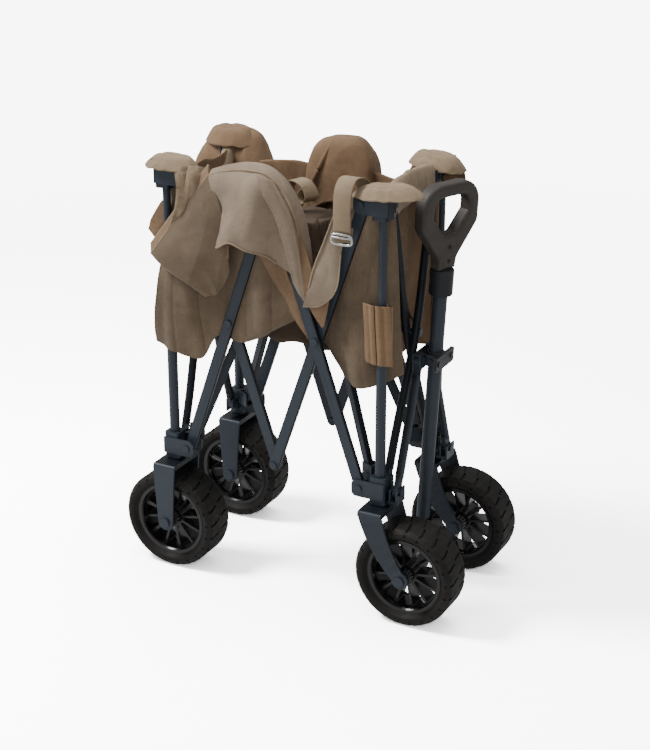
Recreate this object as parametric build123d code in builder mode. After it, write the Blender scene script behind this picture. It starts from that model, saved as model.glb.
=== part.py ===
from build123d import *
from math import asin, cos, radians, sin, sqrt
import os

# Folding camp wagon, half folded. X runs from the rear wheels to the front casters, Y across, Z up.
# Rear is -X, right is -Y. All lengths in millimetres, all angles in degrees.

# Scissor frame
BAR_LENGTH = 525.0  # pivot to pivot, the same for every bar, so that all turn by the same angle
REST_ANGLE = 19.0  # bar angle from the vertical, half folded
LOW_PIVOT_Z = 232.0
POST_OFFSET_X = 32.8  # long side bar pivot to corner post
POST_OFFSET_Y = 27.9  # end tube pivot to corner post
BAR_WIDTH = 20.0
BAR_THICKNESS = 8.4
LAYER_PITCH = 9.0  # side bars pass each other in three layers
PIN_RADIUS = 3.0
PIN_HOLE_RADIUS = 3.15
HEAD_RADIUS = 6.5
HEAD_THICKNESS = 2.5

# Wheels
WHEEL_RADIUS = 90.0
TYRE_WIDTH = 72.0
RIM_RADIUS = 68.0
LUG_COUNT = 22
GROOVE_DEPTH = 2.4
TREAD_PRESS = 0.4  # how far the tread is flattened where it stands on the ground
SPOKE_COUNT = 12
CASTER_TRAIL = 59.0
CROWN_Z = 187.0
CROWN_TOP_Z = 204.0

# Brackets
BLOCK_SIDE = 28.0
LOW_BLOCK_Z = (207.0, 256.0)
HIGH_BLOCK_BELOW = 23.0
HIGH_BLOCK_ABOVE = 24.0
CHEEK_THICKNESS = 3.0
CHEEK_HEIGHT = 30.0
EYE_THICKNESS = 7.0
EYE_RADIUS = 10.0
TUBE_RADIUS = 7.5
TUBE_BEND = 8.6  # how far each end tube bows out to pass the other

# Posts
POST_TUBE_RADIUS = 9.0
POST_BORE_RADIUS = 7.2
POST_TUBE_TOP = 300.0  # above the low pivot
POST_ROD_RADIUS = 6.8
POST_ROD_REACH = 285.0  # below the high pivot

# Front link
LINK_LENGTH = 225.0
LINK_PLANE = 27.0  # ahead of the front posts
LINK_FOOT_Z = 228.0
LINK_FOOT_INSET = 10.0
LINK_BOLT_Y = 25.0
LINK_EYE = 8.0
LINK_SLOT = 10.5  # half travel of a link foot in its slotted ear

# Pull handle
HANDLE_PLANE = 46.0  # ahead of the front posts
HANDLE_LEAN = 3.0
HANDLE_TUBE_RADIUS = 12.0
GRIP_TURN = 21.0
GRIP_DEPTH = 27.0
GRIP_ROUNDING = 7.0
INNER_TUBE_RADIUS = 9.8

# Floor arms
ARM_LENGTH = 405.0
ARM_FOOT_Z = 250.0
ARM_TIP_GAP = 36.0  # arm tip to the centre line
ARM_WIDTH = 11.0
ARM_DEPTH = 16.0

# Fabric basket
WALL_THICKNESS = 4.0
WALL_BOTTOM_Z = 402.0

# Worked out
REACH = BAR_LENGTH * sin(radians(REST_ANGLE))
RISE = BAR_LENGTH * cos(radians(REST_ANGLE))
HIGH_PIVOT_Z = LOW_PIVOT_Z + RISE
POST_X = REACH + POST_OFFSET_X
POST_Y = REACH / 2 + POST_OFFSET_Y
MIDDLE_X = -CASTER_TRAIL / 2  # centre of the four posts; puts the origin under the middle of the wagon
CHANNEL = LAYER_PITCH + BAR_THICKNESS / 2 + 0.8  # half the gap between a bracket's cheeks
ENDS = {"rear": -1, "front": 1}
SIDES = {"right": -1, "left": 1}

os.makedirs("parts", exist_ok=True)


def save(piece, name):
    piece.label = name
    export_step(piece, f"parts/{name}.step")


def post_at(end, side):
    return Vector(MIDDLE_X + ENDS[end] * POST_X, SIDES[side] * POST_Y, 0)


def pin_through(centre, axis, half_length):
    """A riveted pin along axis, with a head at each end, standing clear of what it holds."""
    direction = Vector(*axis)
    with Locations(Plane(origin=centre, z_dir=direction).location):
        Cylinder(PIN_RADIUS, 2 * half_length)
    for way in (-1, 1):
        head = centre + direction * way * (half_length + HEAD_THICKNESS / 2)
        with Locations(Plane(origin=head, z_dir=direction).location):
            Cylinder(HEAD_RADIUS, HEAD_THICKNESS)


def bore_through(centre, axis, length, radius=PIN_HOLE_RADIUS):
    with Locations(Plane(origin=centre, z_dir=Vector(*axis)).location):
        Cylinder(radius, length, mode=Mode.SUBTRACT)


def flat_bar(low, high, y, pins):
    """A flat scissor bar between two pivots in an XZ plane, with a middle pivot, and the pins that it carries."""
    middle = (low + high) / 2
    along = (high - low).normalized()
    plane = Plane(origin=Vector(middle.X, y, middle.Z), x_dir=along, z_dir=(0, -1, 0))
    with BuildPart() as bar:
        with BuildSketch(plane):
            SlotCenterToCenter(BAR_LENGTH, BAR_WIDTH)
        extrude(amount=BAR_THICKNESS / 2, both=True)
        fillet(bar.edges().filter_by(Axis.Y, reverse=True), radius=1.6)
        for spot in (low, middle, high):
            bore_through(Vector(spot.X, y, spot.Z), (0, 1, 0), 2 * BAR_THICKNESS)
        for spot, y_from, y_to in pins:
            centre = Vector(spot.X, (y_from + y_to) / 2, spot.Z)
            pin_through(centre, (0, 1, 0), abs(y_to - y_from) / 2)
    return bar.part


def make_side_bars(side):
    """Two crossed pairs. The bars from the low corners meet at the top centre, the others at the bottom centre."""
    way = SIDES[side]
    layer = [way * (POST_Y + n * LAYER_PITCH) for n in (1, 0, -1)]
    half = (BAR_THICKNESS + 0.3) / 2
    centre_high = Vector(MIDDLE_X, 0, HIGH_PIVOT_Z)
    centre_low = Vector(MIDDLE_X, 0, LOW_PIVOT_Z)
    rising_layer = {"rear": layer[1], "front": layer[0]}
    falling_layer = {"rear": layer[2], "front": layer[1]}
    for end in ENDS:
        foot = Vector(MIDDLE_X + ENDS[end] * REACH, 0, LOW_PIVOT_Z)
        head = Vector(foot.X, 0, HIGH_PIVOT_Z)
        crossing = (foot + centre_high) / 2
        rising, falling = rising_layer[end], falling_layer[end]
        pins = [(crossing, rising + way * half, falling - way * half)]
        if end == "rear":
            pins.append((centre_high, layer[0] + way * half, layer[1] - way * half))
        save(flat_bar(foot, centre_high, rising, pins), f"{side}_bar_{end}_rising")
        pins = []
        if end == "rear":
            pins.append((centre_low, layer[1] + way * half, layer[2] - way * half))
        save(flat_bar(centre_low, head, falling, pins), f"{side}_bar_{end}_falling")


def eye_ended_tube(low, high, x, radius, bend, eye, pins):
    """A round tube in a YZ plane with flattened eyes at both ends, bowed along X by bend at its middle."""
    along = (high - low).normalized()
    inset = along * 24
    start, stop = Vector(x, low.Y, low.Z) + inset, Vector(x, high.Y, high.Z) - inset
    middle = Vector(x + bend, (low.Y + high.Y) / 2, (low.Z + high.Z) / 2)
    with BuildPart() as tube:
        with BuildLine() as path:
            if bend:
                Spline(start, middle, stop, tangents=[along, along, along])
            else:
                Line(start, stop)
        with BuildSketch(Plane(origin=start, z_dir=along)):
            Circle(radius)
        sweep(path=path.line)
        for spot, way in ((low, 1), (high, -1)):
            centre = Vector(x, spot.Y, spot.Z)
            blade = centre + along * way * 16
            with Locations(Plane(origin=centre, z_dir=(1, 0, 0)).location):
                Cylinder(EYE_RADIUS, eye)
            with Locations(Plane(origin=blade, x_dir=(1, 0, 0), z_dir=along).location):
                Box(eye, 2 * EYE_RADIUS - 3, 32)
            bore_through(centre, (1, 0, 0), 3 * eye)
        if bend:
            bore_through(middle, (1, 0, 0), 3 * radius)
        for spot, half_length in pins:
            pin_through(spot, (1, 0, 0), half_length)
    return tube.part


def make_end_tubes(end):
    """A crossed pair of tubes across the end. The one that rises from the right bows outwards."""
    x = MIDDLE_X + ENDS[end] * POST_X
    for side, way in SIDES.items():
        low = Vector(0, way * REACH / 2, LOW_PIVOT_Z)
        high = Vector(0, -way * REACH / 2, HIGH_PIVOT_Z)
        bend = -way * ENDS[end] * TUBE_BEND
        pins = []
        if side == "right":
            crossing = Vector(x, 0, (low.Z + high.Z) / 2)
            pins.append((crossing, TUBE_BEND + TUBE_RADIUS + 0.3))
        piece = eye_ended_tube(low, high, x, TUBE_RADIUS, bend, EYE_THICKNESS, pins)
        save(piece, f"{end}_tube_from_{side}")


def make_link_tubes():
    """Two tubes from the front corners up to the bracket that carries the pull handle."""
    x = MIDDLE_X + POST_X + LINK_PLANE
    foot_y = POST_Y - LINK_FOOT_INSET
    rise = sqrt(LINK_LENGTH**2 - (foot_y - LINK_BOLT_Y) ** 2)
    for side, way in SIDES.items():
        low = Vector(0, way * foot_y, LINK_FOOT_Z)
        high = Vector(0, way * LINK_BOLT_Y, LINK_FOOT_Z + rise)
        foot_pin = (Vector(x, low.Y, low.Z), LINK_EYE / 2 + 0.6 + CHEEK_THICKNESS + 0.2)
        save(eye_ended_tube(low, high, x, TUBE_RADIUS, 0, LINK_EYE, [foot_pin]), f"link_tube_{side}")
    return LINK_FOOT_Z + rise


def corner_plane(end, side, inward_x, inward_y, z):
    """Axes for one corner: local X runs inwards along the wagon, local Z up, measured from the corner post."""
    post = post_at(end, side)
    origin = Vector(post.X - ENDS[end] * inward_x, post.Y - SIDES[side] * inward_y, z)
    return Plane(origin=origin, x_dir=(-ENDS[end], 0, 0), z_dir=(0, 0, 1))


def diagonal(end, side):
    return Vector(-ENDS[end] * 2, -SIDES[side], 0).normalized()


def block_with_cheeks(end, side, low, high, pivot_z):
    """The moulded block around a post, with two cheeks for the side bar and two ears for the end tube."""
    with Locations(corner_plane(end, side, 0, 0, (low + high) / 2).location):
        block = Box(BLOCK_SIDE, BLOCK_SIDE, high - low)
    fillet(block.edges().filter_by(Axis.Z), radius=4)
    cheek_length = POST_OFFSET_X + BLOCK_SIDE / 2 + 13
    cheek_middle = (cheek_length - BLOCK_SIDE) / 2
    for way in (-1, 1):
        outset = way * (CHANNEL + CHEEK_THICKNESS / 2)
        with Locations(corner_plane(end, side, cheek_middle, outset, pivot_z).location):
            cheek = Box(cheek_length, CHEEK_THICKNESS, CHEEK_HEIGHT)
        ends = cheek.edges().filter_by(Axis.Y).group_by(Axis.X)
        fillet(ends[0 if ENDS[end] > 0 else -1], radius=9)
    ear_length = POST_OFFSET_Y + 11 - BLOCK_SIDE / 2
    ear_middle = (ear_length + BLOCK_SIDE) / 2
    for way in (-1, 1):
        offset = way * (EYE_THICKNESS / 2 + 0.7 + CHEEK_THICKNESS / 2)
        with Locations(corner_plane(end, side, offset, ear_middle, pivot_z).location):
            Box(CHEEK_THICKNESS, ear_length, CHEEK_HEIGHT - 6)


def pivot_pins(end, side, pivot_z):
    """Pins for the side bar and the end tube, each in bored cheeks."""
    bar = corner_plane(end, side, POST_OFFSET_X, 0, pivot_z).origin
    tube = corner_plane(end, side, 0, POST_OFFSET_Y, pivot_z).origin
    grip = CHANNEL + CHEEK_THICKNESS + 0.2
    ear_grip = EYE_THICKNESS / 2 + 0.9 + CHEEK_THICKNESS
    bore_through(bar, (0, 1, 0), 2 * grip + 2)
    bore_through(tube, (1, 0, 0), 2 * ear_grip + 2)
    pin_through(bar, (0, 1, 0), grip)
    pin_through(tube, (1, 0, 0), ear_grip)


def arm_foot(end, side):
    return corner_plane(end, side, POST_OFFSET_X, POST_OFFSET_Y, ARM_FOOT_Z).origin


def make_low_bracket(end, side):
    low, high = LOW_BLOCK_Z
    foot = arm_foot(end, side)
    inward = diagonal(end, side)
    with BuildPart() as bracket:
        block_with_cheeks(end, side, low, high, LOW_PIVOT_Z)
        with Locations(Plane(origin=foot - inward * 3, x_dir=inward, z_dir=(0, 0, 1)).location):
            Box(26, ARM_WIDTH + 7.4, 26)
        slot_middle = foot + inward * 10 + Vector(0, 0, 10)
        with Locations(Plane(origin=slot_middle, x_dir=inward, z_dir=(0, 0, 1)).location):
            Box(40, ARM_WIDTH + 1.2, 40, mode=Mode.SUBTRACT)
        with Locations(Plane(origin=foot, z_dir=inward.cross(Vector(0, 0, 1))).location):
            Cylinder(PIN_RADIUS, ARM_WIDTH + 6)
        if end == "front":
            link_ears(side)
        with Locations(corner_plane(end, side, 0, 0, low).location):
            Cylinder(6.1, 22, mode=Mode.SUBTRACT)
        with Locations(corner_plane(end, side, 0, 0, LOW_PIVOT_Z + 15).location):
            Cylinder(POST_TUBE_RADIUS + 0.1, 50, mode=Mode.SUBTRACT)
        pivot_pins(end, side, LOW_PIVOT_Z)
    save(bracket.part, f"{end}_{side}_low_bracket")


def link_ears(side):
    """A shelf on the front face with two slotted ears for the foot of a link tube."""
    width = 2 * (LINK_SLOT + 5.5)
    gap = LINK_EYE / 2 + 0.6
    shelf_depth = LINK_PLANE + gap + CHEEK_THICKNESS - BLOCK_SIDE / 2 + 2
    shelf_x = -(BLOCK_SIDE / 2 - 2 + shelf_depth / 2)
    with Locations(corner_plane("front", side, shelf_x, LINK_FOOT_INSET, 212).location):
        Box(shelf_depth, width, 6)
    for way in (-1, 1):
        ear_x = -(LINK_PLANE + way * (gap + CHEEK_THICKNESS / 2))
        with Locations(corner_plane("front", side, ear_x, LINK_FOOT_INSET, 209).location):
            Box(CHEEK_THICKNESS, width, 26, align=(Align.CENTER, Align.CENTER, Align.MIN))
    foot = corner_plane("front", side, -LINK_PLANE, LINK_FOOT_INSET, LINK_FOOT_Z).origin
    with BuildSketch(Plane(origin=foot, x_dir=(0, 1, 0), z_dir=(1, 0, 0)), mode=Mode.PRIVATE) as slot:
        SlotCenterToCenter(2 * LINK_SLOT, 2 * PIN_HOLE_RADIUS)
    extrude(slot.sketch, amount=gap + CHEEK_THICKNESS + 1, both=True, mode=Mode.SUBTRACT)


def make_high_bracket(end, side):
    low, high = HIGH_PIVOT_Z - HIGH_BLOCK_BELOW, HIGH_PIVOT_Z + HIGH_BLOCK_ABOVE
    with BuildPart() as bracket:
        block_with_cheeks(end, side, low, high, HIGH_PIVOT_Z)
        with Locations(corner_plane(end, side, 0, 0, high + 1.5).location):
            Box(BLOCK_SIDE + 6, BLOCK_SIDE + 6, 3)
        with Locations(corner_plane(end, side, 0, 0, low).location):
            Cylinder(POST_ROD_RADIUS + 0.1, 80, mode=Mode.SUBTRACT)
        pivot_pins(end, side, HIGH_PIVOT_Z)
    save(bracket.part, f"{end}_{side}_high_bracket")


def make_post(end, side):
    post = post_at(end, side)
    bottom = LOW_BLOCK_Z[0] + 15
    with BuildPart() as tube:
        with BuildSketch(Plane.XY.offset(bottom)):
            with Locations((post.X, post.Y)):
                Circle(POST_TUBE_RADIUS)
                Circle(POST_BORE_RADIUS, mode=Mode.SUBTRACT)
        extrude(amount=LOW_PIVOT_Z + POST_TUBE_TOP - bottom)
    save(tube.part, f"{end}_{side}_post_tube")
    rod_bottom = HIGH_PIVOT_Z - POST_ROD_REACH
    with BuildPart() as rod:
        with BuildSketch(Plane.XY.offset(rod_bottom)):
            with Locations((post.X, post.Y)):
                Circle(POST_ROD_RADIUS)
        extrude(amount=POST_ROD_REACH + 16)
    save(rod.part, f"{end}_{side}_post_rod")


def wheel_centre(end, side):
    post = post_at(end, side)
    trail = CASTER_TRAIL if end == "front" else 0
    return Vector(post.X + trail, post.Y, WHEEL_RADIUS)


def blade_outline(end):
    """Side view of a fork blade: straight and tapered at the rear, raked forwards at the front."""
    trail = CASTER_TRAIL if end == "front" else 0
    top = CROWN_TOP_Z - 6
    with BuildSketch(mode=Mode.PRIVATE) as blade:
        with BuildLine():
            if end == "front":
                Line((-21, top), (23, top))
                Spline((23, top), (37, 155), (trail + 15, WHEEL_RADIUS))
                Line((trail + 15, WHEEL_RADIUS), (trail - 15, WHEEL_RADIUS - 1))
                Spline((trail - 15, WHEEL_RADIUS - 1), (1, 146), (-21, top))
            else:
                Polyline((-22, top), (22, top), (15, WHEEL_RADIUS), (-15, WHEEL_RADIUS), close=True)
        make_face()
        with Locations((trail, WHEEL_RADIUS)):
            Circle(15)
    return blade.sketch


def make_fork(end, side):
    post, axle = post_at(end, side), wheel_centre(end, side)
    inner = TYRE_WIDTH / 2 + 3
    blade = 4.0
    outline = blade_outline(end)
    with BuildPart() as fork:
        crown_height = CROWN_TOP_Z - CROWN_Z - 8
        with Locations((post.X, post.Y, CROWN_TOP_Z - crown_height / 2)):
            crown = Box(43, 2 * (inner + blade), crown_height)
        fillet(crown.edges().filter_by(Axis.X).group_by(Axis.Z)[-1], radius=5)
        for way in (-1, 1):
            y = post.Y + way * (inner + blade / 2)
            with BuildSketch(Plane(origin=(post.X, y, 0), x_dir=(1, 0, 0), z_dir=(0, -1, 0))):
                add(outline)
            extrude(amount=blade / 2, both=True)
        with Locations((post.X, post.Y, CROWN_TOP_Z + 1.2)):
            Cylinder(14, 2.4)
        with Locations((post.X, post.Y, CROWN_TOP_Z + 6)):
            Cylinder(6, 14)
        bore_through(axle, (0, 1, 0), 120, radius=5.1)
        with Locations(Plane(origin=axle, z_dir=(0, 1, 0)).location):
            Cylinder(5, 2 * (inner + blade) + 0.4)
        for way in (-1, 1):
            head = axle + Vector(0, way * (inner + blade + 2.2), 0)
            with Locations(Plane(origin=head, z_dir=(0, 1, 0)).location):
                Cylinder(8.5, 4)
    save(fork.part, f"{end}_{side}_fork")


def make_wheels():
    """One tyre and one rim, placed at all four corners."""
    centre = Vector(0, 0, 0)
    section = Plane(origin=centre, x_dir=(1, 0, 0), z_dir=(0, 0, 1))
    half = TYRE_WIDTH / 2
    tread = WHEEL_RADIUS + TREAD_PRESS
    with BuildPart() as tyre:
        with BuildSketch(section):
            with BuildLine():
                Polyline(
                    (RIM_RADIUS + 0.2, -half + 10), (RIM_RADIUS + 7, -half + 2), (tread - 8, -half),
                    (tread, -half + 8), (tread, half - 8), (tread - 8, half),
                    (RIM_RADIUS + 7, half - 2), (RIM_RADIUS + 0.2, half - 10), close=True,
                )
            outline = make_face()
            fillet(outline.vertices().sort_by(Axis.X)[2:], radius=5)
        revolve(axis=Axis(centre, (0, 1, 0)))
        with Locations((0, 0, -WHEEL_RADIUS - 5)):
            Box(80, 2 * TYRE_WIDTH, 10, mode=Mode.SUBTRACT)
        pitch = 360 / LUG_COUNT
        for number in range(LUG_COUNT):
            for way in (-1, 1):
                angle = radians(-90 + pitch * (number + (0.25 if way > 0 else 0.75)))
                out = Vector(cos(angle), 0, sin(angle))
                seat = Plane(origin=centre + out * (WHEEL_RADIUS + 1), x_dir=(0, way, 0), z_dir=out)
                with BuildSketch(seat):
                    with BuildLine():
                        Polyline(
                            (3, -6), (half - 14, -2), (half + 1, -4), (half + 1, 1.5),
                            (half - 14, 2), (3, -3), close=True,
                        )
                    make_face()
                extrude(amount=-(GROOVE_DEPTH + 1), mode=Mode.SUBTRACT)
                with Locations(Plane(origin=centre + out * (WHEEL_RADIUS - 2), x_dir=(0, way, 0), z_dir=out).location):
                    with Locations((half, -1.2, 0)):
                        Box(5, 6, 16, mode=Mode.SUBTRACT)
    with BuildPart() as rim:
        with BuildSketch(section):
            with BuildLine():
                Polyline(
                    (60, -24), (62, -27), (RIM_RADIUS, -27), (RIM_RADIUS, 27), (62, 27), (60, 24), close=True
                )
            make_face()
            with Locations((33.5, 0)):
                Rectangle(55, 30)
            with Locations((10.2, 0)):
                Rectangle(9.6, 2 * half)
        revolve(axis=Axis(centre, (0, 1, 0)))
        window = petal_window()
        with BuildSketch(Plane(origin=centre, x_dir=(1, 0, 0), z_dir=(0, -1, 0))):
            with PolarLocations(0, SPOKE_COUNT):
                add(window)
        extrude(amount=20, both=True, mode=Mode.SUBTRACT)
    for end in ENDS:
        for side in SIDES:
            place = Location(wheel_centre(end, side))
            save(tyre.part.moved(place), f"{end}_{side}_tyre")
            save(rim.part.moved(place), f"{end}_{side}_rim")


def petal_window():
    """One opening between two curved spokes."""
    with BuildSketch(mode=Mode.PRIVATE) as window:
        with BuildLine():
            Polyline((18, -3), (36, -10.5), (57, -17), (57.5, 9), (36, 4.5), (18, 1.9), close=True)
        make_face()
        fillet(window.vertices(), radius=1.2)
    return window.sketch


def make_link_bracket(z):
    """The bracket between the two link tubes, with two ears that hold the handle guide."""
    x = MIDDLE_X + POST_X + LINK_PLANE
    gap = LINK_EYE / 2 + 0.6
    pivot_x = MIDDLE_X + POST_X + HANDLE_PLANE
    face_x = x + gap + CHEEK_THICKNESS
    with BuildPart() as bracket:
        with Locations((x - gap - CHEEK_THICKNESS / 2, 0, z)):
            Box(CHEEK_THICKNESS, 72, 26)
        for way in (-1, 1):
            with Locations((x + gap + CHEEK_THICKNESS / 2, way * 26, z)):
                Box(CHEEK_THICKNESS, 20, 26)
            with Locations((x, way * 26, z + 12)):
                Box(2 * (gap + CHEEK_THICKNESS), 20, 2.4)
            with Locations(((face_x + pivot_x + 10) / 2, way * 17.5, z)):
                ear = Box(pivot_x + 10 - face_x, CHEEK_THICKNESS, 20)
            fillet(ear.edges().filter_by(Axis.Y).group_by(Axis.X)[-1], radius=9)
            bolt = Vector(x, way * LINK_BOLT_Y, z)
            bore_through(bolt, (1, 0, 0), 40)
            pin_through(bolt, (1, 0, 0), gap + CHEEK_THICKNESS + 0.2)
            bore_through(Vector(pivot_x, way * 17.5, z), (0, 1, 0), 8)
    save(bracket.part, "link_bracket")


def handle_point(pivot, height, forward=0.0):
    """A point on the handle's own axes: height along its tube, forward at right angles to it."""
    lean = radians(HANDLE_LEAN)
    return pivot + Vector(sin(lean), 0, cos(lean)) * height + Vector(cos(lean), 0, -sin(lean)) * forward


def handle_plane(pivot, height, forward=0.0):
    """Local Z runs up the tube, local Y across the wagon, local X forwards."""
    lean = radians(HANDLE_LEAN)
    origin = handle_point(pivot, height, forward)
    return Plane(origin=origin, x_dir=(cos(lean), 0, -sin(lean)), z_dir=(sin(lean), 0, cos(lean)))


def make_guide(pivot):
    """A sleeve that swings between the ears, with a front plate and its two screws."""
    with BuildPart() as guide:
        with Locations(handle_plane(pivot, 0).location):
            Cylinder(HANDLE_TUBE_RADIUS + 3, 26)
        with Locations(handle_plane(pivot, 0, 15.5).location):
            plate = Box(5, 72, 26)
        fillet(plate.edges().filter_by(lambda edge: abs(edge.length - 5) < 0.1), radius=4)
        with Locations(Plane(origin=pivot, z_dir=(0, 1, 0)).location):
            Cylinder(PIN_RADIUS, 42)
        for way in (-1, 1):
            with Locations(handle_plane(pivot, 0, 18.6).location):
                with Locations(Location((0, way * LINK_BOLT_Y, 0), (0, 90, 0))):
                    Cylinder(5, 2.4)
        with Locations(handle_plane(pivot, 0).location):
            Cylinder(HANDLE_TUBE_RADIUS + 0.15, 80, mode=Mode.SUBTRACT)
    save(guide.part, "handle_guide")


def hollow_tube(pivot, bottom, top, outer, inner):
    with BuildPart() as tube:
        with BuildSketch(handle_plane(pivot, bottom)):
            Circle(outer)
            Circle(inner, mode=Mode.SUBTRACT)
        extrude(amount=top - bottom)
    return tube.part


def make_handle(pivot):
    save(hollow_tube(pivot, -302, 150, HANDLE_TUBE_RADIUS, INNER_TUBE_RADIUS + 0.4), "handle_outer_tube")
    save(hollow_tube(pivot, -280, 176, INNER_TUBE_RADIUS, INNER_TUBE_RADIUS - 1.6), "handle_inner_tube")
    with BuildPart() as collar:
        with Locations(handle_plane(pivot, 137.5).location):
            Cylinder(20, 45)
        fillet(collar.edges().filter_by(GeomType.CIRCLE), radius=2)
        with Locations(handle_plane(pivot, 132.6).location):
            Cylinder(HANDLE_TUBE_RADIUS + 0.1, 35.4, mode=Mode.SUBTRACT)
        with Locations(handle_plane(pivot, 150).location):
            Cylinder(INNER_TUBE_RADIUS + 0.3, 60, mode=Mode.SUBTRACT)
        with Locations(handle_plane(pivot, 150, -14).location):
            Box(16, 10.4, 10.4, mode=Mode.SUBTRACT)
    save(collar.part, "handle_collar")
    with BuildPart() as button:
        with Locations(handle_plane(pivot, 150, -17.2).location):
            Box(7.6, 10, 10)
        fillet(button.edges().filter_by(Axis.Y), radius=1.2)
    save(button.part, "collar_button")
    make_grip(pivot)


def make_grip(pivot):
    """A rounded D-shaped loop on a forked neck, turned a little about the handle."""
    frame = handle_plane(pivot, 0)
    turn = radians(GRIP_TURN)
    across = frame.y_dir * cos(turn) + frame.x_dir * sin(turn)
    normal = frame.x_dir * cos(turn) - frame.y_dir * sin(turn)
    face = Plane(origin=pivot, x_dir=across, z_dir=normal)
    with BuildPart() as grip:
        with BuildSketch(face) as outer:
            with BuildLine():
                Polyline(
                    (-18, 161), (18, 161), (20, 180), (63, 236), (63, 308),
                    (-63, 308), (-63, 236), (-20, 180), close=True,
                )
            make_face()
            rows = outer.vertices().group_by(Axis.Y)
            fillet(rows[1] + rows[2], radius=20)
            fillet(outer.vertices().group_by(Axis.Y)[-1], radius=38)
        extrude(amount=GRIP_DEPTH / 2, both=True)
        with BuildSketch(face) as window:
            with BuildLine():
                Polyline((-12, 222), (12, 222), (40, 256), (40, 286), (-40, 286), (-40, 256), close=True)
            make_face()
            fillet(window.vertices().group_by(Axis.Y)[-1], radius=18)
            fillet(window.vertices().group_by(Axis.Y)[0], radius=9)
        extrude(amount=GRIP_DEPTH, both=True, mode=Mode.SUBTRACT)
        sides = grip.faces().sort_by(Axis(pivot, normal))
        fillet(sides[0].edges() + sides[-1].edges(), radius=GRIP_ROUNDING)
        with Locations(handle_plane(pivot, 168.4).location):
            Cylinder(INNER_TUBE_RADIUS + 0.1, 17.2, mode=Mode.SUBTRACT)
    save(grip.part, "grip")


def arm_lift():
    """Angle of a floor arm from the vertical, with its tip ARM_TIP_GAP from the centre line."""
    foot_radius = REACH * sqrt(5) / 2
    return asin((foot_radius - ARM_TIP_GAP) / ARM_LENGTH)


def make_arm(end, side):
    foot = arm_foot(end, side)
    inward = diagonal(end, side)
    lift = arm_lift()
    along = inward * sin(lift) + Vector(0, 0, cos(lift))
    across = inward.cross(Vector(0, 0, 1))
    tip = foot + along * ARM_LENGTH
    with BuildPart() as arm:
        with BuildSketch(Plane(origin=(foot + tip) / 2, x_dir=along, z_dir=across)):
            SlotCenterToCenter(ARM_LENGTH, ARM_DEPTH)
        extrude(amount=ARM_WIDTH / 2, both=True)
        fillet(arm.edges().filter_by(GeomType.LINE), radius=1.5)
        with Locations(Plane(origin=tip, x_dir=along, z_dir=across).location):
            Box(36, 2 * ARM_DEPTH, 4, mode=Mode.SUBTRACT)
        bore_through(foot, across, 2 * ARM_WIDTH)
        with Locations(Plane(origin=tip, z_dir=across).location):
            Cylinder(2.5, ARM_WIDTH - 1)
    save(arm.part, f"floor_arm_{end}_{side}")


def make_hub():
    """A round plate over the arm tips, hung on the tip of the rear right arm."""
    foot = arm_foot("rear", "right")
    inward = diagonal("rear", "right")
    lift = arm_lift()
    tip = foot + (inward * sin(lift) + Vector(0, 0, cos(lift))) * ARM_LENGTH
    plate_z = tip.Z + 11
    with BuildPart() as hub:
        with Locations((MIDDLE_X, 0, plate_z + 2.5)):
            Cylinder(46, 5)
        with Locations((MIDDLE_X, 0, plate_z + 9)):
            Cylinder(17, 10)
        fillet(hub.edges().filter_by(GeomType.CIRCLE).group_by(Axis.Z)[-1], radius=3)
        with Locations(Plane(origin=Vector(tip.X, tip.Y, tip.Z + 3), x_dir=inward, z_dir=(0, 0, 1)).location):
            Box(13, 3.4, 18)
        bore_through(tip, inward.cross(Vector(0, 0, 1)), 20, radius=2.65)
    save(hub.part, "floor_hub")


def make_fabric():
    """Plain panels for the basket: two on each long side, one at each end."""
    top = HIGH_PIVOT_Z - 3
    height = top - WALL_BOTTOM_Z
    for side, way in SIDES.items():
        for end, forward in ENDS.items():
            outer_x, inner_x = POST_X - 16, 0.5
            with BuildPart() as wall:
                middle_x = MIDDLE_X + forward * (outer_x + inner_x) / 2
                with Locations((middle_x, way * (POST_Y - 23), (top + WALL_BOTTOM_Z) / 2)):
                    Box(outer_x - inner_x, WALL_THICKNESS, height)
            save(wall.part, f"{side}_wall_{end}")
    for end, forward in ENDS.items():
        with BuildPart() as wall:
            with Locations((MIDDLE_X + forward * (POST_X - 22.5), 0, (top + WALL_BOTTOM_Z) / 2)):
                Box(WALL_THICKNESS, 2 * (POST_Y - 29), height)
        save(wall.part, f"{end}_wall")


for end in ENDS:
    for side in SIDES:
        make_low_bracket(end, side)
        make_high_bracket(end, side)
        make_post(end, side)
        make_fork(end, side)
        make_arm(end, side)
    make_end_tubes(end)
for side in SIDES:
    make_side_bars(side)
make_wheels()
link_z = make_link_tubes()
make_link_bracket(link_z)
handle_pivot = Vector(MIDDLE_X + POST_X + HANDLE_PLANE, 0, link_z)
make_guide(handle_pivot)
make_handle(handle_pivot)
make_hub()
make_fabric()
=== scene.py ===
import bpy
import math
import numpy as np
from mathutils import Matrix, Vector, noise


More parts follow.
